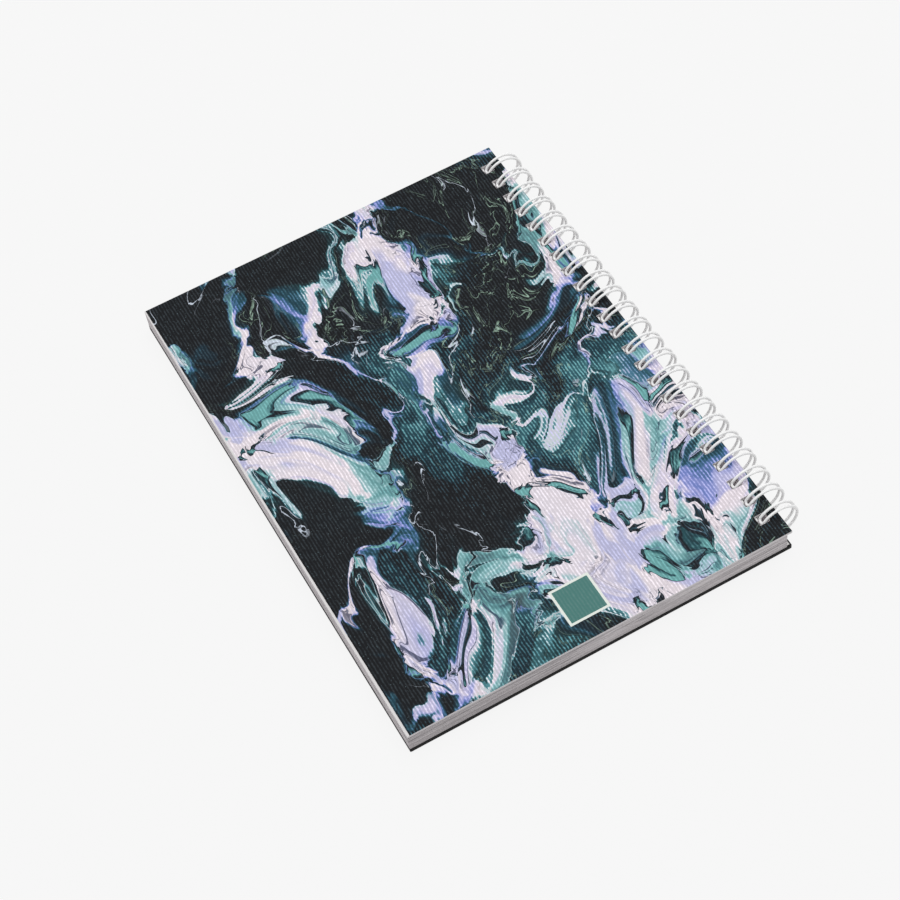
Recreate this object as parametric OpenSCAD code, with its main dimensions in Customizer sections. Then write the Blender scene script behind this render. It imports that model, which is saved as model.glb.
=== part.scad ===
// Twin-loop wire-bound notebook, closed, lying on its front cover.
// X runs from the fore-edge to the bound edge, Y from the tail to the head
// and +Z is up. The origin is on the resting surface, under the middle of
// the bounding box. The book rests on the fore-edge of the front cover and
// on the underside of the wire, so it leans by about one degree.

/* [Covers] */
// Width of the covers, from the fore-edge to the bound edge
cover_w = 145; // [130:0.5:160]
// Length of the covers, from tail to head
cover_l = 205; // [200:0.5:225]
// Thickness of the printed back cover, which lies on top
back_t = 0.9; // [0.6:0.1:1.1]
// Thickness of the front cover, which lies underneath
front_t = 2; // [1.3:0.1:2.2]

/* [Page block] */
// Thickness of the stack of sheets
pages_t = 7.2; // [6.3:0.1:7.3]
// How far the sheets stop short of the covers along the bound edge
pages_inset = 1.8; // [1:0.1:2.5]
// Free height between the sheets and the back cover
back_gap = 0.1; // [0.05:0.01:0.15]

/* [Punched holes] */
// Number of holes, and of wire loops
hole_n = 23; // [3:1:23]
// Distance from one hole to the next, three to the inch
hole_pitch = 8.467; // [8.4:0.001:8.6]
// Side of each square hole
hole_s = 3.9; // [3.85:0.05:4]
// Distance from the bound edge to the near side of the holes
hole_margin = 3.8; // [3.75:0.05:3.85]

/* [Wire] */
// Diameter of the wire
wire_d = 1; // [0.8:0.05:1]
// Radius of each closed loop, to the middle of the wire
ring_r = 7.3; // [7.25:0.01:7.35]
// Distance between the two wires of one loop
pair_s = 2.26; // [2:0.02:2.4]
// Distance from the bound edge of the covers to the middle of the loops
ring_out = 0.2; // [0.15:0.01:0.3]
// Radius of the bend from a loop into the rail that joins it to the next
rail_bend = 0.7; // [0.6:0.05:0.8]

/* [Hidden] */
eps = 0.5;                       // how far a cutter runs past a face

stack_t = front_t + 0.05 + pages_t + back_gap + back_t;
wire_r = wire_d / 2;

// The middle of the loops, which is also the line that both covers turn on
ax_x = cover_w + ring_out;
ax_z = stack_t / 2;

// Lean that brings the wire and the fore-edge down to the same level
lean = asin((ring_r + wire_r) / norm([ax_x, ax_z])) - atan2(ax_z, ax_x);
rot_x = function(x, z) x * cos(lean) - z * sin(lean);
x_lo = rot_x(0, stack_t);
x_hi = rot_x(ax_x, ax_z) + ring_r + wire_r;

// First hole, so that the row is centred on the length
hole_y0 = (cover_l - (hole_n - 1) * hole_pitch) / 2;
hole_x0 = cover_w - hole_margin - hole_s;

// Each loop follows its circle over the back cover and down into the hole.
// Where it heads down on a slope of 3 across to 4 down, its tip begins.
slope = [0.6, 0.8];
slope_a = atan2(slope[1], slope[0]);
tip_at = [-ring_r * slope[1], ring_r * slope[0]];

// Height of the rail over the middle of the loops, just under the back cover
rail_dz = ax_z - back_t - back_gap - wire_r;

fn_wire = 32;
fn_ring = 120;

// Puts the flat book into the place where it comes to rest
module at_rest() {
    translate([-(x_lo + x_hi) / 2, -cover_l / 2, 0])
        rotate([0, -lean, 0])
            children();
}

// The row of square holes, cut through z0 to z1
module holes(z0, z1) {
    for (k = [0 : hole_n - 1])
        translate([hole_x0, hole_y0 + k * hole_pitch - hole_s / 2, z0])
            cube([hole_s, hole_s, z1 - z0]);
}

// One cover: a flat board with the row of holes
module cover(z0, t) {
    difference() {
        translate([0, 0, z0])
            cube([cover_w, cover_l, t]);
        holes(z0 - eps, z0 + t + eps);
    }
}

module back_cover() {
    color([0.16, 0.25, 0.28])
        at_rest()
            cover(stack_t - back_t, back_t);
}

module front_cover() {
    color([0.12, 0.12, 0.13])
        at_rest()
            cover(0, front_t);
}

// The sheets as one block. The rail of the wire presses a shallow groove
// into the last sheets, from the first hole to the last.
module page_block() {
    z0 = front_t + 0.05;
    color([0.9, 0.89, 0.87])
        at_rest()
            difference() {
                translate([0, 0, z0])
                    cube([cover_w - pages_inset, cover_l, pages_t]);
                holes(z0 - eps, z0 + pages_t + eps);
                translate([ax_x - ring_r - wire_r - 0.15, hole_y0 - hole_s / 2, ax_z + rail_dz - wire_r - 0.15])
                    cube([wire_d + 0.3, (hole_n - 1) * hole_pitch + hole_s, wire_d + 0.15 + eps]);
            }
}

// A length of round wire bent about its local Z, from angle a over sweep b
module bend(r, a, b, fn) {
    rotate_extrude(angle = b, start = a, $fn = fn)
        translate([r, 0])
            circle(r = wire_r, $fn = fn_wire);
}

// One of the two wires of a loop: down from the rail and round to the tip
module leg(s) {
    translate([0, 0, s]) {
        translate([-ring_r, 0, 0])
            rotate([-90, 0, 0])
                cylinder(r = wire_r, h = rail_dz - rail_bend, $fn = fn_wire);
        difference() {
            bend(ring_r, 0, 360, fn_ring);
            translate([0, 0, -2 * wire_r])
                linear_extrude(4 * wire_r)
                    polygon([[0, 0], [-25 * slope[1], 0], [-25 * slope[1], 25 * slope[0]]]);
        }
    }
}

// The half turn that closes the two wires of a loop into a rounded tip
module tip() {
    translate(tip_at)
        rotate([0, 0, 180 + slope_a])
            rotate([90, 0, 0])
                bend(pair_s / 2, -90, 180, 64);
}

// The quarter bend from a wire of a loop into the rail beside it
module foot(side) {
    translate([-ring_r, rail_dz - rail_bend, side * (pair_s / 2 + rail_bend)])
        rotate([0, 0, 90])
            rotate([90, 0, 0])
                bend(rail_bend, side > 0 ? -90 : 0, 90, 64);
}

// A straight piece of the rail, from y0 to y1
module rail(y0, y1) {
    translate([ax_x - ring_r, y1, ax_z + rail_dz])
        rotate([90, 0, 0])
            cylinder(r = wire_r, h = y1 - y0, $fn = fn_wire);
}

// One wire, bent to and fro into loops that pass through the holes
module wire_binding() {
    reach = pair_s / 2 + rail_bend;
    color([0.93, 0.93, 0.92])
        at_rest()
            union() {
                for (k = [0 : hole_n - 1])
                    translate([ax_x, hole_y0 + k * hole_pitch, ax_z])
                        rotate([90, 0, 0]) {
                            leg(pair_s / 2);
                            leg(-pair_s / 2);
                            tip();
                            foot(1);
                            foot(-1);
                        }
                for (k = [0 : hole_n - 2])
                    rail(hole_y0 + k * hole_pitch + reach, hole_y0 + (k + 1) * hole_pitch - reach);
            }
}

back_cover();
front_cover();
page_block();
wire_binding();
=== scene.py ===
import math
import random

import bmesh
import bpy
from mathutils import Matrix, Vector

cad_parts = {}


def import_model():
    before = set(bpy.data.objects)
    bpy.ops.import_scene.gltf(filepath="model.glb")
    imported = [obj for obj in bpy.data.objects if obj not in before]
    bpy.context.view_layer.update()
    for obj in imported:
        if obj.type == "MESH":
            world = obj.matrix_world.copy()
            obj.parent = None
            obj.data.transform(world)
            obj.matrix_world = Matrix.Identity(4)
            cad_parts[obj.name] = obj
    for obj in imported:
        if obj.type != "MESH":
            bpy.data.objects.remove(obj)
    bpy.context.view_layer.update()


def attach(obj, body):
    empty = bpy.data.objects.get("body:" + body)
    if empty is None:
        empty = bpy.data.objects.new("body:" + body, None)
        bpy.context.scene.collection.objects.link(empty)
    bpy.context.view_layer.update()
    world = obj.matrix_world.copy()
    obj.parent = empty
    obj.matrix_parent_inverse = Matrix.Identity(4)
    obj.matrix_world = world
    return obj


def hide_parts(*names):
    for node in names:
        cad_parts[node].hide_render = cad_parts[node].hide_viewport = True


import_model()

# ---------------------------------------------------------------- measures
# The book's own frame, in mm: x runs from the fore-edge (0) to the bound edge,
# y from the tail (0) to the head, z up from the underside of the lower board.
COVER_W, COVER_L = 145.0, 205.0
BOARD_T, PAGES_T, CARD_T = 2.0, 7.2, 0.9
BOARD_GAP, CARD_GAP = 0.05, 0.1
PAGES_INSET = 1.8
PAGES_Z0 = BOARD_T + BOARD_GAP
PAGES_Z1 = PAGES_Z0 + PAGES_T
CARD_Z0 = PAGES_Z1 + CARD_GAP
CARD_Z1 = CARD_Z0 + CARD_T
HOLE_N, HOLE_PITCH, HOLE_S, HOLE_MARGIN = 23, 8.467, 3.9, 3.8
HOLE_X1 = COVER_W - HOLE_MARGIN
HOLE_X0 = HOLE_X1 - HOLE_S
HOLE_Y = [COVER_L / 2 + (k - (HOLE_N - 1) / 2) * HOLE_PITCH for k in range(HOLE_N)]
WIRE_R, RING_R, PAIR = 0.5, 7.3, 1.13
RING_X, RING_Z = COVER_W + 0.2, CARD_Z1 / 2
RAIL_Z, RAIL_BEND = 3.625, 0.7
TRENCH_X0, TRENCH_X1, TRENCH_Z = 137.34, 138.55, 8.1

# The book lies on the fore-edge of its lower board and on the wire, so it leans by about a degree.
LEAN = math.asin((RING_R + WIRE_R) / math.hypot(RING_X, RING_Z)) - math.atan2(RING_Z, RING_X)
CL, SL = math.cos(LEAN), math.sin(LEAN)
OFF_X = -(-CARD_Z1 * SL + RING_X * CL - RING_Z * SL + RING_R + WIRE_R) / 2
OFF_Y = -COVER_L / 2


def world(p):
    x, y, z = p
    return (
        (x * CL - z * SL + OFF_X) / 1000,
        (y + OFF_Y) / 1000,
        (x * SL + z * CL) / 1000,
    )


def turned(v):
    """A direction of the book's own frame in the shared frame."""
    x, y, z = v
    return Vector((x * CL - z * SL, y, x * SL + z * CL))


# ---------------------------------------------------------------- camera
FOCAL_PX = 2259.788
EYE = (-96.31626, -331.63677, 642.81294)
RIGHT = turned((0.87240002, -0.47909317, -0.09689137))
UP = turned((0.44252571, 0.68996748, 0.572814))
BACK = turned((-0.20757938, -0.54259987, 0.81393869))
cam = bpy.data.objects.new("camera", bpy.data.cameras.new("camera"))
bpy.context.scene.collection.objects.link(cam)
cam.matrix_world = Matrix.Translation(Vector(world(EYE))) @ Matrix((RIGHT, UP, BACK)).transposed().to_4x4()
cam.data.sensor_width = 36
cam.data.lens = FOCAL_PX / 900 * 36
cam.data.clip_start, cam.data.clip_end = 0.01, 50
bpy.context.scene.camera = cam

# ---------------------------------------------------------------- shader helpers


def lin(r, g, b):
    """Linear colour of an 8-bit display colour."""
    out = []
    for c in (r, g, b):
        c /= 255
        out.append(c / 12.92 if c <= 0.04045 else ((c + 0.055) / 1.055) ** 2.4)
    return (*out, 1.0)


class Net:
    """Short calls for the nodes of one tree."""

    def __init__(self, tree):
        self.tree = tree

    def n(self, kind, ins=None, **props):
        node = self.tree.nodes.new(kind)
        for k, v in props.items():
            setattr(node, k, v)
        for k, v in (ins or {}).items():
            s = node.inputs[k]
            if isinstance(v, bpy.types.NodeSocket):
                self.tree.links.new(v, s)
            else:
                s.default_value = v
        return node

    def m(self, op, *a, clamp=False):
        return self.n("ShaderNodeMath", dict(enumerate(a)), operation=op, use_clamp=clamp).outputs[0]

    def v(self, op, *a, scale=None):
        ins = dict(enumerate(a))
        if scale is not None:
            ins["Scale"] = scale
        node = self.n("ShaderNodeVectorMath", ins, operation=op)
        return node.outputs["Value"] if op in ("LENGTH", "DOT_PRODUCT", "DISTANCE") else node.outputs["Vector"]

    def mix(self, fac, a, b, blend="MIX"):
        node = self.n("ShaderNodeMix", None, data_type="RGBA", blend_type=blend, clamp_factor=True)
        for i, val in ((0, fac), (6, a), (7, b)):
            if isinstance(val, bpy.types.NodeSocket):
                self.tree.links.new(val, node.inputs[i])
            else:
                node.inputs[i].default_value = val
        return node.outputs[2]

    def ramp(self, fac, stops, interp="LINEAR"):
        node = self.n("ShaderNodeValToRGB", {0: fac})
        r = node.color_ramp
        r.interpolation = interp
        while len(r.elements) < len(stops):
            r.elements.new(0.5)
        for e, (pos, col) in zip(r.elements, stops):
            e.position = pos
        for e, (pos, col) in zip(r.elements, stops):
            e.color = col if len(col) == 4 else (*col, 1.0)
        return node.outputs[0]

    def noise(self, vec, scale, detail=2.0, rough=0.5, dist=0.0, colour=False, dims="3D"):
        node = self.n(
            "ShaderNodeTexNoise",
            {"Vector": vec, "Scale": scale, "Detail": detail, "Roughness": rough, "Distortion": dist},
            noise_dimensions=dims,
        )
        return node.outputs[1 if colour else 0]

    def smooth(self, x, lo, hi, to_lo=0.0, to_hi=1.0):
        return self.n(
            "ShaderNodeMapRange",
            {0: x, 1: lo, 2: hi, 3: to_lo, 4: to_hi},
            interpolation_type="SMOOTHSTEP",
        ).outputs[0]

    def book(self):
        """Book coordinates in mm, the same for every piece."""
        tc = self.n("ShaderNodeTexCoord").outputs["Object"]
        return self.n(
            "ShaderNodeMapping",
            {
                "Vector": tc,
                "Location": (OFF_X / 1000, OFF_Y / 1000, 0),
                "Rotation": (0, -LEAN, 0),
                "Scale": (0.001, 0.001, 0.001),
            },
            vector_type="TEXTURE",
        ).outputs[0]

    def xyz(self, vec):
        s = self.n("ShaderNodeSeparateXYZ", {0: vec})
        return s.outputs[0], s.outputs[1], s.outputs[2]

    def vec(self, x, y, z=0.0):
        return self.n("ShaderNodeCombineXYZ", {0: x, 1: y, 2: z}).outputs[0]

    def bump(self, height, distance, strength=1.0, normal=None):
        ins = {"Height": height, "Distance": distance, "Strength": strength}
        if normal is not None:
            ins["Normal"] = normal
        return self.n("ShaderNodeBump", ins).outputs[0]


def material(name, rough=0.6, spec=0.4, **fixed):
    """A material with its nodes cleared but for the shader, and the helper for its tree."""
    mat = bpy.data.materials.new(name)
    mat.use_nodes = True
    tree = mat.node_tree
    tree.nodes.clear()
    net = Net(tree)
    bsdf = net.n("ShaderNodeBsdfPrincipled")
    out = net.n("ShaderNodeOutputMaterial", {0: bsdf.outputs[0]})
    out.is_active_output = True
    bsdf.inputs["Roughness"].default_value = rough
    bsdf.inputs["Specular IOR Level"].default_value = spec
    for k, v in fixed.items():
        bsdf.inputs[k.replace("_", " ")].default_value = v
    return mat, net, bsdf


def feed(net, bsdf, **sockets):
    for k, s in sockets.items():
        net.tree.links.new(s, bsdf.inputs[k.replace("_", " ")])


def ribs(net, p, pitch_x=1.16, pitch_y=1.33):
    """Height 0..1 of the stock's fine emboss: upright ribs broken into staggered dashes."""
    x, y, _ = net.xyz(p)
    wob = net.noise(p, 0.35, 1.0, dims="2D")
    x = net.m("ADD", x, net.m("MULTIPLY", net.m("SUBTRACT", wob, 0.5), 0.5))
    cx = net.m("DIVIDE", x, pitch_x)
    ix = net.m("FLOOR", cx)
    fx = net.m("SUBTRACT", cx, ix)
    odd = net.m("MULTIPLY", net.m("MODULO", ix, 2.0), 0.5)
    jit = net.n("ShaderNodeTexWhiteNoise", {"W": ix}, noise_dimensions="1D").outputs[0]
    cy = net.m("ADD", net.m("ADD", net.m("DIVIDE", y, pitch_y), odd), net.m("MULTIPLY", jit, 0.25))
    iy = net.m("FLOOR", cy)
    fy = net.m("SUBTRACT", cy, iy)
    cell = net.n("ShaderNodeTexWhiteNoise", {"Vector": net.vec(ix, iy)}, noise_dimensions="2D").outputs[0]
    across = net.m("POWER", net.m("SINE", net.m("MULTIPLY", fx, math.pi)), 2.6)
    along = net.m("MULTIPLY_ADD", net.m("POWER", net.m("SINE", net.m("MULTIPLY", fy, math.pi)), 0.8), 0.36, 0.64)
    # some strokes stand higher than others over a few mm of a rib
    stroke = net.noise(net.vec(net.m("MULTIPLY", ix, 3.7), net.m("MULTIPLY", y, 0.42)), 1.0, 1.0, dims="2D")
    stroke = net.smooth(stroke, 0.3, 0.72, 0.5, 1.0)
    tall = net.m("MULTIPLY", net.m("MULTIPLY_ADD", cell, 0.35, 0.65), stroke)
    height = net.m("MULTIPLY", net.m("MULTIPLY", across, along), tall)
    return height


# ---------------------------------------------------------------- materials


def make_print():
    """Marbled print on the upper card: calm dark fields and pale ones with frayed, coloured rims, teal washes,
    thin lines, islands and specks; a blank square panel, the bare strip along the fore-edge, and the emboss."""
    mat, net, bsdf = material("marbled_print", rough=0.6, spec=0.10)
    p = net.book()
    x, y, _ = net.xyz(p)
    flat = net.vec(x, y)

    def at(vec, dx, dy):
        return net.v("ADD", vec, (dx, dy, 0.0))

    def nz(vec, dx, dy, scale, detail=2.0, rough=0.5):
        return net.noise(at(vec, dx, dy), scale, detail, rough, dims="2D")

    def warp(vec, scale, amount, dx, dy, detail=1.0):
        w = net.noise(at(vec, dx, dy), scale, detail, 0.5, colour=True, dims="2D")
        return net.v("ADD", vec, net.v("SCALE", net.v("SUBTRACT", w, (0.5, 0.5, 0.5)), scale=amount))

    def ridge(value, centre=0.5):
        return net.m("ABSOLUTE", net.m("SUBTRACT", value, centre))

    def both(*a):
        out = a[0]
        for b in a[1:]:
            out = net.m("MULTIPLY", out, b)
        return out

    rib = ribs(net, p)
    crest = net.smooth(rib, 0.10, 0.74)

    # the ink is stirred in steps, from broad folds to small curls
    long_ = net.vec(x, net.m("MULTIPLY", y, 0.7))
    q1 = warp(long_, 0.015, 46.0, 310.0, 40.0)
    q2 = warp(q1, 0.045, 22.0, 77.0, 900.0)
    q3 = warp(q2, 0.12, 10.5, 500.0, 210.0)
    q4 = warp(q3, 0.32, 4.4, 40.0, 640.0)
    q5 = warp(q4, 0.85, 1.6, 90.0, 140.0, 2.0)

    # how far a point lies inside a pale field; the rim is crisp here and soft there
    field = nz(q5, 60.0, 263.0, 0.0155, 4.0, 0.52)
    run = nz(q5, 731.0, 415.0, 0.021, 3.0, 0.5)
    width = net.m("MULTIPLY_ADD", nz(q2, 11.0, 900.0, 0.03, 1.0), 0.10, -0.034)
    crisp = net.smooth(nz(q2, 61.0, 17.0, 0.035, 1.0), 0.36, 0.64, 4.5, 17.0)
    inside = net.m("MAXIMUM", net.m("SUBTRACT", field, 0.535), net.m("SUBTRACT", width, ridge(run)))
    t = net.m("MULTIPLY_ADD", inside, crisp, 0.5)
    t = net.m("ADD", t, net.m("MULTIPLY", net.m("SUBTRACT", crest, 0.35), 0.045))

    ink = lin(20, 22, 26)
    white = lin(234, 224, 232)
    cold = net.ramp(
        t,
        [
            (0.0, ink),
            (0.22, lin(20, 26, 32)),
            (0.34, lin(25, 46, 58)),
            (0.42, lin(38, 82, 98)),
            (0.47, lin(72, 112, 152)),
            (0.505, lin(124, 140, 208)),
            (0.55, lin(170, 172, 226)),
            (0.61, lin(212, 206, 233)),
            (0.69, white),
            (0.9, lin(236, 226, 233)),
        ],
    )
    plain = net.ramp(
        t,
        [
            (0.0, ink),
            (0.30, lin(22, 28, 33)),
            (0.42, lin(30, 58, 64)),
            (0.47, lin(88, 150, 160)),
            (0.49, lin(206, 220, 226)),
            (0.52, white),
            (0.62, lin(216, 208, 230)),
            (0.70, white),
            (0.9, lin(232, 224, 233)),
        ],
    )
    colour = net.mix(net.smooth(nz(q3, 15.0, 81.0, 0.04, 1.0), 0.46, 0.54), cold, plain)
    is_pale = net.smooth(t, 0.49, 0.53)
    is_dark = net.smooth(t, 0.36, 0.44, 1.0, 0.0)

    # in the pale: lilac clouds, aqua washes, thin navy lines that run side by side, dark islands with holes
    lilac = net.smooth(nz(q3, 44.0, 71.0, 0.05, 3.0, 0.6), 0.50, 0.62)
    colour = net.mix(both(lilac, is_pale, 0.75), colour, lin(176, 180, 224))
    wash = nz(q4, 320.0, 18.0, 0.028, 4.0, 0.6)
    wash = net.m("ADD", wash, net.m("MULTIPLY", net.m("SUBTRACT", 0.35, rib), 0.03))
    wash_c = net.ramp(wash, [(0.54, lin(208, 218, 230)), (0.58, lin(156, 202, 206)), (0.63, lin(98, 160, 162)), (0.69, lin(54, 100, 108)), (0.74, lin(34, 62, 68))])
    colour = net.mix(both(net.smooth(wash, 0.54, 0.60), is_pale, 0.95), colour, wash_c)
    lines = nz(q5, 640.0, 95.0, 0.05, 3.0, 0.55)
    busy = net.smooth(nz(q2, 1.0, 300.0, 0.035, 2.0), 0.47, 0.60)
    band = ridge(net.m("FRACT", net.m("MULTIPLY", lines, 13.0)))
    thin = net.smooth(band, 0.05, 0.12, 1.0, 0.0)
    colour = net.mix(both(thin, busy, is_pale, 0.85), colour, lin(40, 50, 84))
    isle = nz(q5, 77.0, 31.0, 0.085, 3.0, 0.55)
    where = net.smooth(nz(q2, 8.0, 470.0, 0.03, 1.0), 0.44, 0.56, 0.09, 0.0)
    isle = net.m("SUBTRACT", net.m("SUBTRACT", isle, 0.555), where)
    isle = net.m("ADD", isle, net.m("MULTIPLY", net.m("SUBTRACT", crest, 0.35), 0.006))
    isle_c = net.ramp(net.m("MULTIPLY_ADD", isle, 5.0, 0.5), [(0.5, lin(150, 170, 206)), (0.54, lin(48, 84, 100)), (0.60, lin(22, 26, 32)), (0.72, lin(24, 30, 38)), (0.84, lin(40, 84, 92)), (1.0, lin(112, 172, 172))])
    colour = net.mix(both(net.smooth(isle, 0.0, 0.008), is_pale), colour, isle_c)

    # in the dark: a teal wash streaked along the ribs, thin bright threads, a net of green crumbs
    haze = nz(q3, 18.0, 33.0, 0.016, 4.0, 0.6)
    haze = net.m("ADD", haze, net.m("MULTIPLY", net.m("SUBTRACT", crest, 0.35), 0.11))
    haze_c = net.ramp(haze, [(0.52, ink), (0.59, lin(26, 54, 66)), (0.66, lin(52, 100, 112)), (0.74, lin(108, 168, 174))])
    colour = net.mix(net.m("MULTIPLY", is_dark, 0.9), colour, haze_c, "LIGHTEN")
    thread = net.smooth(ridge(nz(q5, 200.0, 1200.0, 0.035, 3.0)), 0.0015, 0.006, 1.0, 0.0)
    broken = net.smooth(nz(q3, 9.0, 55.0, 0.05, 2.0), 0.47, 0.56)
    colour = net.mix(both(thread, broken, is_dark), colour, lin(206, 216, 230))
    crumb = net.smooth(ridge(nz(q5, 150.0, 20.0, 0.14, 3.0, 0.65)), 0.002, 0.013, 1.0, 0.0)
    gate = both(net.smooth(nz(q1, 15.0, 77.0, 0.022, 1.0), 0.46, 0.54), net.smooth(nz(q4, 3.0, 5.0, 0.2, 2.0), 0.42, 0.58))
    colour = net.mix(both(crumb, gate, is_dark, 0.9), colour, lin(152, 180, 162))

    # fine specks
    vor = net.n("ShaderNodeTexVoronoi", {"Vector": flat, "Scale": 1.1, "Randomness": 1.0}, voronoi_dimensions="2D")
    chance = net.n("ShaderNodeSeparateColor", {0: vor.outputs["Color"]}).outputs[0]
    size = net.m("MULTIPLY", net.m("SUBTRACT", chance, 0.80, clamp=True), 0.85)
    speck = net.m("LESS_THAN", vor.outputs["Distance"], size)
    colour = net.mix(both(speck, is_dark, 0.35), colour, lin(136, 164, 172))
    colour = net.mix(both(speck, is_pale, 0.5), colour, lin(84, 98, 134))

    # emboss: painted highlight on the crests, painted shade between them, and a painted glint on the crests
    grain = net.noise(flat, 2.4, 3.0, 0.6, dims="2D")
    shade = net.m("ADD", net.m("MULTIPLY", crest, 0.34), 0.80)
    colour = net.v("MULTIPLY", colour, net.vec(shade, shade, shade))
    glint = net.m("MULTIPLY", crest, 0.026)
    colour = net.v("ADD", colour, net.vec(net.m("MULTIPLY", glint, 0.8), net.m("MULTIPLY", glint, 1.05), net.m("MULTIPLY", glint, 1.2)))

    # blank square panel near the tail, with a pale border
    def square(half):
        ax = net.m("ABSOLUTE", net.m("SUBTRACT", x, 72.1))
        ay = net.m("ABSOLUTE", net.m("SUBTRACT", y, 14.9))
        return net.m("LESS_THAN", net.m("MAXIMUM", ax, ay), half)

    teal = net.mix(net.m("MULTIPLY", grain, 0.5), lin(72, 122, 114), lin(74, 114, 118))
    # painted highlight: the panel's rib crests are mixed towards a light grey-teal
    teal = net.mix(net.m("MULTIPLY", rib, 0.10), teal, lin(190, 206, 204))
    colour = net.mix(square(7.6), colour, lin(224, 229, 222))
    colour = net.mix(square(6.7), colour, teal)

    # bare strip where the trim misses the print
    edge = net.m("ADD", net.m("MULTIPLY", y, -0.0022), 0.95)
    edge = net.m("ADD", edge, net.m("MULTIPLY", net.m("SUBTRACT", nz(flat, 0.0, 0.0, 0.5), 0.5), 0.12))
    colour = net.mix(net.m("LESS_THAN", x, edge), colour, lin(214, 212, 212))

    rough = net.m("ADD", net.m("MULTIPLY", grain, 0.12), 0.5)
    height = net.m("ADD", rib, net.m("MULTIPLY", grain, 0.25))
    feed(net, bsdf, Base_Color=colour, Roughness=rough, Normal=net.bump(height, 0.00003, 0.6))
    return mat


def fibre(net, p, base, dark, light, amount=0.5):
    """Colour of plain card or paper: soft clouds and fine fibres."""
    cloud = net.noise(p, 0.12, 3.0, 0.6)
    fine = net.noise(p, 3.5, 4.0, 0.65)
    c = net.mix(net.m("MULTIPLY", net.smooth(cloud, 0.3, 0.7), amount), base, dark)
    return net.mix(net.m("MULTIPLY", net.smooth(fine, 0.45, 0.75), amount), c, light), fine


def make_card():
    """White card: cut edges, hole walls and the unprinted inner faces."""
    mat, net, bsdf = material("white_card", rough=0.8, spec=0.25)
    p = net.book()
    c, fine = fibre(net, p, lin(236, 234, 232), lin(229, 227, 226), lin(243, 241, 240), 0.3)
    feed(net, bsdf, Base_Color=c, Normal=net.bump(fine, 0.00002, 0.5))
    return mat


def make_lining():
    """White lining of the lower board, near black within about 0.6 mm of its edges."""
    mat, net, bsdf = material("white_lining", rough=0.8, spec=0.25)
    p = net.book()
    x, y, z = net.xyz(p)
    c, fine = fibre(net, p, lin(236, 234, 232), lin(229, 227, 226), lin(243, 241, 240), 0.3)
    # near black within about 0.6 mm of the board's edges
    side = net.m("ABSOLUTE", net.m("SUBTRACT", x, COVER_W / 2))
    end = net.m("ABSOLUTE", net.m("SUBTRACT", y, COVER_L / 2))
    rim = net.m("MAXIMUM", net.smooth(side, COVER_W / 2 - 0.62, COVER_W / 2 - 0.54),
                net.smooth(end, COVER_L / 2 - 0.62, COVER_L / 2 - 0.54))
    c = net.mix(rim, c, lin(30, 29, 31))
    feed(net, bsdf, Base_Color=c, Normal=net.bump(fine, 0.00002, 0.5))
    return mat


def make_card_edge(name, a, b, c3, period):
    """Cut edge of a board: thin layers one on another."""
    mat, net, bsdf = material(name, rough=0.85, spec=0.2)
    p = net.book()
    x, y, z = net.xyz(p)
    stretched = net.vec(net.m("MULTIPLY", x, 0.08), net.m("MULTIPLY", y, 0.08), net.m("DIVIDE", z, period))
    layers = net.noise(stretched, 1.0, 3.0, 0.6)
    fine = net.noise(p, 3.0, 3.0, 0.6)
    c = net.mix(net.smooth(layers, 0.35, 0.65), a, b)
    c = net.mix(net.m("MULTIPLY", net.smooth(fine, 0.5, 0.75), 0.4), c, c3)
    h = net.m("ADD", layers, net.m("MULTIPLY", fine, 0.5))
    feed(net, bsdf, Base_Color=c, Normal=net.bump(h, 0.00003, 0.6))
    return mat


def make_board():
    """Black outer face of the lower board, on the same embossed stock."""
    mat, net, bsdf = material("black_board", rough=0.55, spec=0.35)
    p = net.book()
    rib = ribs(net, p)
    grain = net.noise(p, 2.4, 3.0, 0.6)
    c = net.mix(net.smooth(grain, 0.3, 0.75), lin(36, 37, 40), lin(50, 51, 54))
    # painted highlight: the rib crests are mixed towards a light grey
    c = net.mix(net.m("MULTIPLY", rib, 0.10), c, lin(170, 172, 176))
    rough = net.m("ADD", net.m("MULTIPLY", grain, 0.15), 0.46)
    feed(net, bsdf, Base_Color=c, Roughness=rough, Normal=net.bump(rib, 0.00003, 0.6))
    return mat


def make_paper():
    """Top and bottom sheet of the block."""
    mat, net, bsdf = material("paper", rough=0.85, spec=0.2)
    p = net.book()
    c, fine = fibre(net, p, lin(240, 239, 235), lin(235, 234, 230), lin(245, 244, 241), 0.3)
    feed(net, bsdf, Base_Color=c, Normal=net.bump(fine, 0.000015, 0.4))
    return mat


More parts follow.
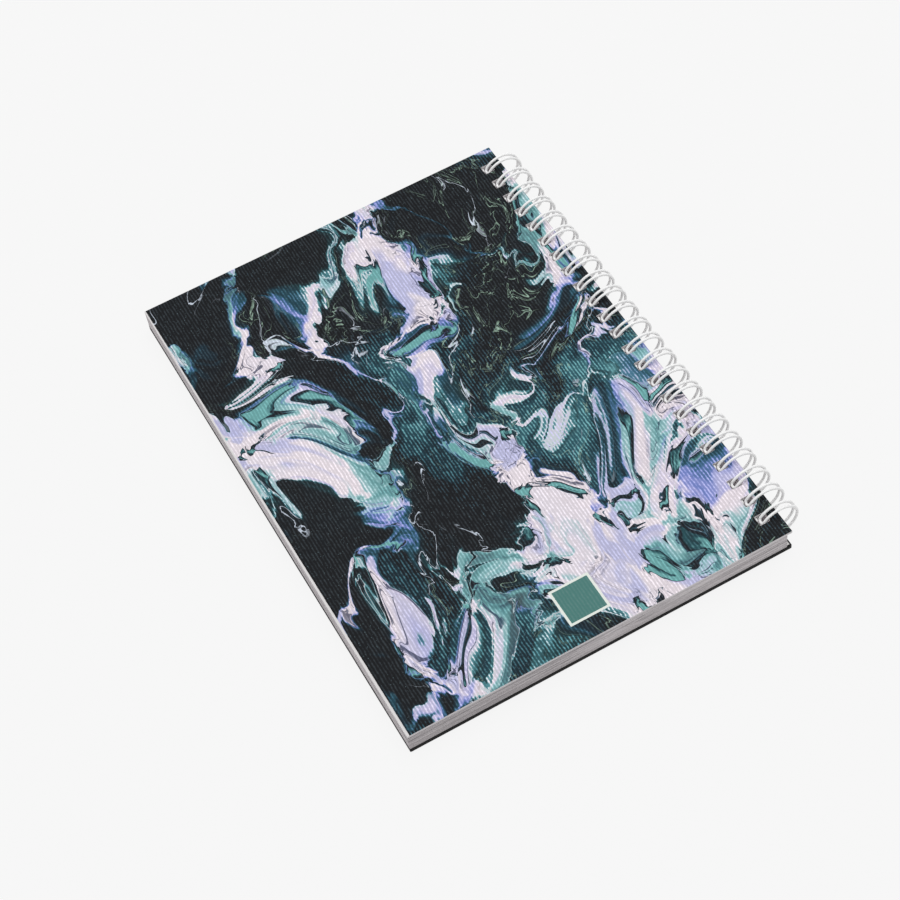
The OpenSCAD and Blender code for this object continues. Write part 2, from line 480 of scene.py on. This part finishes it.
def make_paper_edge():
    """Cut edges of the sheets: long soft streaks and painted shade lines between the sheets."""
    mat, net, bsdf = material("paper_edge", rough=0.9, spec=0.15)
    p = net.book()
    x, y, z = net.xyz(p)
    long_ = net.vec(net.m("MULTIPLY", x, 0.012), net.m("MULTIPLY", y, 0.012), net.m("MULTIPLY", z, 1.6))
    short = net.vec(net.m("MULTIPLY", x, 0.15), net.m("MULTIPLY", y, 0.15), net.m("MULTIPLY", z, 5.0))
    streak = net.noise(long_, 1.0, 3.0, 0.6)
    wisp = net.noise(short, 1.0, 2.0, 0.6)
    c = net.mix(net.smooth(streak, 0.3, 0.7), lin(183, 178, 180), lin(219, 214, 216))
    c = net.mix(net.m("MULTIPLY", net.smooth(wisp, 0.5, 0.8), 0.5), c, lin(169, 164, 166))
    # a few long lines where the stack has settled apart: the dark ones are painted shade in the gaps, and lighter lines
    # run halfway between them
    slow = net.noise(net.vec(net.m("MULTIPLY", x, 0.006), net.m("MULTIPLY", y, 0.006), net.m("MULTIPLY", z, 0.45)), 1.0, 2.0, 0.5)
    part = net.m("ABSOLUTE", net.m("SUBTRACT", net.m("FRACT", net.m("MULTIPLY", slow, 9.0)), 0.5))
    c = net.mix(net.m("MULTIPLY", net.smooth(part, 0.01, 0.09, 1.0, 0.0), 0.6), c, lin(116, 112, 114))
    c = net.mix(net.m("MULTIPLY", net.smooth(part, 0.40, 0.47), 0.5), c, lin(234, 230, 231))
    # painted shade: a dark line between each two sheets
    sheet = net.m("DIVIDE", net.m("SUBTRACT", z, PAGES_Z0), PAGES_T / SHEETS)
    line = net.m("ABSOLUTE", net.m("SUBTRACT", net.m("FRACT", sheet), 0.5))
    line = net.smooth(line, 0.36, 0.5)
    c = net.mix(net.m("MULTIPLY", line, 0.35), c, lin(137, 133, 135))
    # painted shade: the cut is darker by the board, and along the tail side, more so towards the fore-edge
    c = net.mix(net.m("MULTIPLY", net.smooth(z, PAGES_Z0 + 0.1, PAGES_Z0 + 1.7, 1.0, 0.0), 0.2), c, lin(96, 92, 94))
    tail = net.m("MULTIPLY", net.m("LESS_THAN", y, 0.5), net.smooth(x, 15.0, 90.0, 1.0, 0.0))
    c = net.mix(net.m("MULTIPLY", tail, 0.2), c, lin(122, 117, 119))
    # inside the punched holes the cut is fresh and clean
    inner = net.m("MULTIPLY", net.m("GREATER_THAN", x, HOLE_X0 - 0.2), net.m("LESS_THAN", x, HOLE_X1 + 0.2))
    inner = net.m("MULTIPLY", inner, net.m("MULTIPLY", net.m("GREATER_THAN", y, 1.0), net.m("LESS_THAN", y, COVER_L - 1.0)))
    c = net.mix(net.m("MULTIPLY", inner, 0.8), c, lin(244, 239, 242))
    feed(net, bsdf, Base_Color=c, Normal=net.bump(net.m("ADD", wisp, streak), 0.00003, 0.5))
    return mat


def make_wire():
    """White coated wire: even, with a little orange peel and faint handling marks."""
    mat, net, bsdf = material("white_wire", rough=0.42, spec=0.45, Coat_Weight=0.15, Coat_Roughness=0.3)
    p = net.book()
    cloud = net.noise(p, 0.25, 3.0, 0.6)
    peel = net.noise(p, 5.0, 2.0, 0.5)
    c = net.mix(net.m("MULTIPLY", net.smooth(cloud, 0.35, 0.7), 0.5), lin(246, 246, 246), lin(238, 238, 239))
    c = net.mix(net.m("MULTIPLY", net.smooth(peel, 0.6, 0.8), 0.15), c, lin(226, 226, 228))
    rough = net.m("ADD", net.m("MULTIPLY", cloud, 0.2), 0.34)
    feed(net, bsdf, Base_Color=c, Roughness=rough, Normal=net.bump(peel, 0.00001, 0.2))
    return mat


SHEETS = 75
PRINT = make_print()
CARD = make_card()
LINING = make_lining()
CARD_EDGE = make_card_edge("card_edge", lin(198, 194, 196), lin(214, 210, 212), lin(226, 223, 224), 0.12)
BOARD = make_board()
BOARD_EDGE = make_card_edge("board_edge", lin(18, 17, 18), lin(26, 25, 26), lin(40, 39, 40), 0.16)
PAPER = make_paper()
PAPER_EDGE = make_paper_edge()
WIRE = make_wire()

# ---------------------------------------------------------------- meshes


class Shape:
    """Points in book mm, faces with a material index; equal points are one vertex."""

    def __init__(self):
        self.keys, self.points, self.faces, self.slots = {}, [], [], []

    def p(self, x, y, z):
        k = (round(x, 5), round(y, 5), round(z, 5))
        if k not in self.keys:
            self.keys[k] = len(self.points)
            self.points.append((x, y, z))
        return self.keys[k]

    def ring(self, pts, z):
        return [self.p(x, y, z) for x, y in pts]

    def face(self, ids, slot=0):
        self.faces.append(ids)
        self.slots.append(slot)

    def band(self, a, b, slot=0):
        """Quads between two rings; a is the lower one, both run anticlockwise, and the faces look outward."""
        n = len(a)
        for i in range(n):
            j = (i + 1) % n
            self.face([a[i], a[j], b[j], b[i]], slot)

    def object(self, name, mats, body, caps=(), smooth=False):
        """caps: (list of rings, +1 or -1 for the way it looks, slot), each filled between its rings."""
        mesh = bpy.data.meshes.new(name)
        mesh.from_pydata([world(q) for q in self.points], [], self.faces)
        for mat in mats:
            mesh.materials.append(mat)
        mesh.polygons.foreach_set("material_index", self.slots)
        if caps:
            bm = bmesh.new()
            bm.from_mesh(mesh)
            bm.verts.ensure_lookup_table()
            for rings, side, slot in caps:
                edges = []
                for r in rings:
                    for i in range(len(r)):
                        a, b = bm.verts[r[i]], bm.verts[r[(i + 1) % len(r)]]
                        edges.append(bm.edges.get((a, b)) or bm.edges.new((a, b)))
                made = bmesh.ops.triangle_fill(bm, use_beauty=True, edges=edges, normal=turned((0, 0, side)))
                for g in made["geom"]:
                    if isinstance(g, bmesh.types.BMFace):
                        g.normal_update()
                        if g.normal.dot(turned((0, 0, side))) < 0:
                            g.normal_flip()
                        g.material_index = slot
            bm.to_mesh(mesh)
            bm.free()
        if smooth:
            mesh.polygons.foreach_set("use_smooth", [True] * len(mesh.polygons))
        mesh.update()
        o = bpy.data.objects.new(name, mesh)
        bpy.context.scene.collection.objects.link(o)
        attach(o, body)
        return o


def rounded(x0, x1, y0, y1, r, seg=4, nx=1, ny=1):
    """Anticlockwise outline of a rectangle with round corners; nx and ny divide its straight sides."""
    pts = []
    corners = [(x1 - r, y0 + r, -90), (x1 - r, y1 - r, 0), (x0 + r, y1 - r, 90), (x0 + r, y0 + r, 180)]
    for c, (cx, cy, a0) in enumerate(corners):
        arc = [
            (cx + r * math.cos(math.radians(a0 + 90 * i / seg)), cy + r * math.sin(math.radians(a0 + 90 * i / seg)))
            for i in range(seg + 1)
        ]
        pts += arc
        nxt = corners[(c + 1) % 4]
        s = (nxt[0] + r * math.cos(math.radians(nxt[2])), nxt[1] + r * math.sin(math.radians(nxt[2])))
        e = arc[-1]
        n = ny if c % 2 == 0 else nx
        pts += [(e[0] + (s[0] - e[0]) * i / n, e[1] + (s[1] - e[1]) * i / n) for i in range(1, n)]
    return pts


def cover(name, z0, z1, mats, body, top_slot, bottom_slot, edge_slot, rim, corner=0.25):
    """A board with its row of square holes. rim is how far the edges are eased."""
    s = Shape()
    steps = [(z0, rim), (z0 + 0.3 * rim, 0.3 * rim), (z0 + rim, 0.0), (z1 - rim, 0.0), (z1 - 0.3 * rim, 0.3 * rim), (z1, rim)]
    outer = []
    for z, o in steps:
        outer.append(s.ring(rounded(o, COVER_W - o, o, COVER_L - o, corner, 3), z))
    for a, b in zip(outer, outer[1:]):
        s.band(a, b, edge_slot)
    tops, bottoms = [outer[-1]], [outer[0]]
    for yc in HOLE_Y:
        rings = []
        for z, o in steps:
            pts = rounded(
                HOLE_X0 - o, HOLE_X1 + o, yc - HOLE_S / 2 - o, yc + HOLE_S / 2 + o, 0.35 + o, 3
            )
            rings.append(s.ring(pts, z))
        for a, b in zip(rings, rings[1:]):
            s.band(b, a, edge_slot)
        tops.append(rings[-1])
        bottoms.append(rings[0])
    return s.object(name, mats, body, [(tops, 1, top_slot), (bottoms, -1, bottom_slot)])


back_card = cover("back_card", CARD_Z0, CARD_Z1, [PRINT, CARD, CARD_EDGE], "back", 0, 1, 2, 0.07)
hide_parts("back_cover")

front_board = cover("front_board", 0.0, BOARD_T, [LINING, BOARD, BOARD_EDGE], "front", 0, 1, 2, 0.10)
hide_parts("front_cover")


def make_pages():
    """The block of sheets: each sheet's edge is a ridge of its own, and the sheets lie a few hundredths of a mm
    in or out of line. The holes go through, and the rail's dent runs from hole to hole in the top sheets."""
    rnd = random.Random(20)
    s = Shape()
    x1, y1 = COVER_W - PAGES_INSET, COVER_L
    nx, ny = 22, 34
    base = rounded(0, x1, 0, y1, 0.05, 1, nx, ny)
    total = len(base)
    # inward direction at each outline point
    inward = []
    for px, py in base:
        v = Vector((x1 / 2 - px, y1 / 2 - py))
        dx = 1.0 if px < 0.06 else -1.0 if px > x1 - 0.06 else 0.0
        dy = 1.0 if py < 0.06 else -1.0 if py > y1 - 0.06 else 0.0
        inward.append((dx, dy))
    # slow waves along the outline, shared by a few sheets at a time
    def wave():
        terms = [(rnd.uniform(0.3, 1.0), rnd.randint(1, 9), rnd.uniform(0, math.tau)) for _ in range(4)]
        return [
            0.5 + 0.5 * sum(a * math.sin(f * math.tau * i / total + ph) for a, f, ph in terms) / sum(a for a, _, _ in terms)
            for i in range(total)
        ]

    t = PAGES_T / SHEETS
    left, group, shift = 0, None, 0.0
    rings = []
    last = [0.0] * total
    for j in range(SHEETS):
        if left == 0:
            left, group, shift = rnd.randint(3, 9), wave(), rnd.uniform(0.0, 0.07)
        left -= 1
        own, jitter = wave(), rnd.uniform(0.0, 0.05)
        d = [shift + 0.06 * group[i] + jitter * own[i] for i in range(total)]
        z = PAGES_Z0 + j * t
        for dz, ds in (
            (0.0, [max(a, b) + 0.035 for a, b in zip(d, last)] if j else [a + 0.02 for a in d]),
            (0.22 * t, d),
            (0.78 * t, d),
        ):
            rings.append([s.p(px + ix * o, py + iy * o, z + dz) for (px, py), (ix, iy), o in zip(base, inward, ds)])
        last = d
    rings.append([s.p(px + ix * (o + 0.02), py + iy * (o + 0.02), PAGES_Z1) for (px, py), (ix, iy), o in zip(base, inward, last)])
    for a, b in zip(rings, rings[1:]):
        s.band(a, b, 1)

    zb, zt, zg = PAGES_Z0, PAGES_Z1, TRENCH_Z
    xa, xb, g0, g1 = HOLE_X0, HOLE_X1, TRENCH_X0, TRENCH_X1
    spans = [(yc - HOLE_S / 2, yc + HOLE_S / 2) for yc in HOLE_Y]
    bottoms = [rings[0]]
    right, leftside = [], []
    for k, (a, b) in enumerate(spans):
        first, final = k == 0, k == HOLE_N - 1
        bottoms.append([s.p(xa, a, zb), s.p(xb, a, zb), s.p(xb, b, zb), s.p(xa, b, zb)])
        # the walls look into the hole
        s.face([s.p(xa, a, zb), s.p(xa, b, zb), s.p(xa, b, zt), s.p(xa, a, zt)], 1)
        s.face([s.p(xb, b, zb), s.p(xb, a, zb), s.p(xb, a, zt), s.p(xb, b, zt)], 1)
        if first:
            s.face([s.p(xb, a, zb), s.p(xa, a, zb), s.p(xa, a, zt), s.p(xb, a, zt)], 1)
        else:
            s.face([s.p(xb, a, zb), s.p(xa, a, zb), s.p(xa, a, zt), s.p(g0, a, zt), s.p(g0, a, zg), s.p(g1, a, zg), s.p(g1, a, zt), s.p(xb, a, zt)], 1)
        if final:
            s.face([s.p(xa, b, zb), s.p(xb, b, zb), s.p(xb, b, zt), s.p(xa, b, zt)], 1)
        else:
            s.face([s.p(xa, b, zb), s.p(xb, b, zb), s.p(xb, b, zt), s.p(g1, b, zt), s.p(g1, b, zg), s.p(g0, b, zg), s.p(g0, b, zt), s.p(xa, b, zt)], 1)
        if not final:
            c = spans[k + 1][0]
            s.face([s.p(g0, b, zg), s.p(g1, b, zg), s.p(g1, c, zg), s.p(g0, c, zg)], 0)
            s.face([s.p(g0, b, zg), s.p(g0, c, zg), s.p(g0, c, zt), s.p(g0, b, zt)], 0)
            s.face([s.p(g1, c, zg), s.p(g1, b, zg), s.p(g1, b, zt), s.p(g1, c, zt)], 0)
        right += [s.p(xb, a, zt), s.p(xb, b, zt)] + ([] if final else [s.p(g1, b, zt), s.p(g1, spans[k + 1][0], zt)])
        leftside += [s.p(xa, a, zt), s.p(xa, b, zt)] + ([] if final else [s.p(g0, b, zt), s.p(g0, spans[k + 1][0], zt)])
    ladder = right + leftside[::-1]
    return s.object("pages", [PAPER, PAPER_EDGE], "pages", [([rings[-1], ladder], 1, 0), (bottoms, -1, 0)])


pages = make_pages()
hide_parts("page_block")


def make_binding():
    """One wire from end to end: down each hole, round the ring, back over and down into the hole to the tip,
    round again and up through the hole to the rail that runs to the next loop."""
    sweep = 180 + math.degrees(math.atan2(0.8, 0.6)) + 90
    out = (-0.6, -0.8)  # the way the tip points
    path = []

    def half(y0, sign, first_y):
        """Rail end to the start of the tip, for the wire at y0; sign is -1 for the one below."""
        pts = []
        for i in range(7):
            a = math.radians(90 * i / 6)
            pts.append((-RING_R, first_y - sign * RAIL_BEND * math.sin(a), RAIL_Z - RAIL_BEND + RAIL_BEND * math.cos(a)))
        pts.append((-RING_R, y0, 1.4))
        steps = 72
        for i in range(steps + 1):
            a = math.radians(180 + sweep * i / steps)
            pts.append((RING_R * math.cos(a), y0, RING_R * math.sin(a)))
        return pts

    for k, yc in enumerate(HOLE_Y):
        low = half(yc - PAIR, -1, yc - PAIR - RAIL_BEND)
        high = half(yc + PAIR, 1, yc + PAIR + RAIL_BEND)
        tip = low[-1]
        bend = []
        for i in range(1, 14):
            b = math.pi * i / 14
            bend.append(
                (tip[0] + out[0] * PAIR * math.sin(b), yc - PAIR * math.cos(b), tip[2] + out[1] * PAIR * math.sin(b))
            )
        path += low + bend + high[::-1]
    pts = [Vector((RING_X + a, y, RING_Z + c)) for a, y, c in path]
    # drop points that coincide
    clean = [pts[0]]
    for q in pts[1:]:
        if (q - clean[-1]).length > 1e-4:
            clean.append(q)
    pts = clean
    n, sides = len(pts), 16
    thick = WIRE_R - 0.005
    tangents = []
    for i in range(n):
        a = (pts[i] - pts[i - 1]).normalized() if i else Vector((0, 0, 0))
        b = (pts[i + 1] - pts[i]).normalized() if i < n - 1 else Vector((0, 0, 0))
        tangents.append((a + b).normalized())
    s = Shape()
    normal = Vector((0, 0, 1))
    rings = []

    def ring(c, u, w, r):
        ids = []
        for i in range(sides):
            a = math.tau * i / sides
            q = c + u * (r * math.cos(a)) + w * (r * math.sin(a))
            s.points.append((q.x, q.y, q.z))
            ids.append(len(s.points) - 1)
        return ids

    for i in range(n):
        tg = tangents[i]
        normal = (normal - tg * normal.dot(tg)).normalized()
        w = tg.cross(normal)
        if i == 0:
            rings.append(ring(pts[0], normal, w, thick * 0.82))
            rings.append(ring(pts[0] + tg * 0.09, normal, w, thick))
            continue
        if i == n - 1:
            rings.append(ring(pts[i] - tg * 0.09, normal, w, thick))
            rings.append(ring(pts[i], normal, w, thick * 0.82))
            continue
        rings.append(ring(pts[i], normal, w, thick))
    for a, b in zip(rings, rings[1:]):
        for i in range(sides):
            j = (i + 1) % sides
            s.face([a[i], a[j], b[j], b[i]])
    s.face(rings[0][::-1])
    s.face(rings[-1])
    return s.object("binding", [WIRE], "pages", smooth=True)


binding = make_binding()
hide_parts("wire_binding")

# ---------------------------------------------------------------- floor, light


def make_floor():
    mesh = bpy.data.meshes.new("floor")
    mesh.from_pydata([(-3, -3, 0), (3, -3, 0), (3, 3, 0), (-3, 3, 0)], [], [(0, 1, 2, 3)])
    mat = bpy.data.materials.new("floor")
    mat.use_nodes = True
    tree = mat.node_tree
    tree.nodes.clear()
    net = Net(tree)
    glow = net.n("ShaderNodeEmission", {"Color": (1, 1, 1, 1), "Strength": 0.8832})
    matt = net.n("ShaderNodeBsdfDiffuse", {"Color": (0.045, 0.045, 0.045, 1)})
    both = net.n("ShaderNodeAddShader", {0: glow.outputs[0], 1: matt.outputs[0]})
    net.n("ShaderNodeOutputMaterial", {0: both.outputs[0]})
    mesh.materials.append(mat)
    o = bpy.data.objects.new("floor", mesh)
    bpy.context.scene.collection.objects.link(o)


make_floor()

scene = bpy.context.scene
scene.view_settings.view_transform = "Standard"
scene.view_settings.look = "None"
scene.world = bpy.data.worlds.new("studio")
scene.world.use_nodes = True
back = scene.world.node_tree.nodes["Background"]
back.inputs[0].default_value = (1, 1, 1, 1)
back.inputs[1].default_value = 0.5


def area(name, at, aim, size, power):
    light = bpy.data.lights.new(name, "AREA")
    light.shape = "SQUARE"
    light.size = size
    light.energy = power
    o = bpy.data.objects.new(name, light)
    scene.collection.objects.link(o)
    o.location = at
    o.rotation_mode = "QUATERNION"
    o.rotation_quaternion = (Vector(aim) - Vector(at)).to_track_quat("-Z", "Y")


area("overhead", (0.1, 0.25, 1.5), (0, 0, 0), 1.8, 18.6)
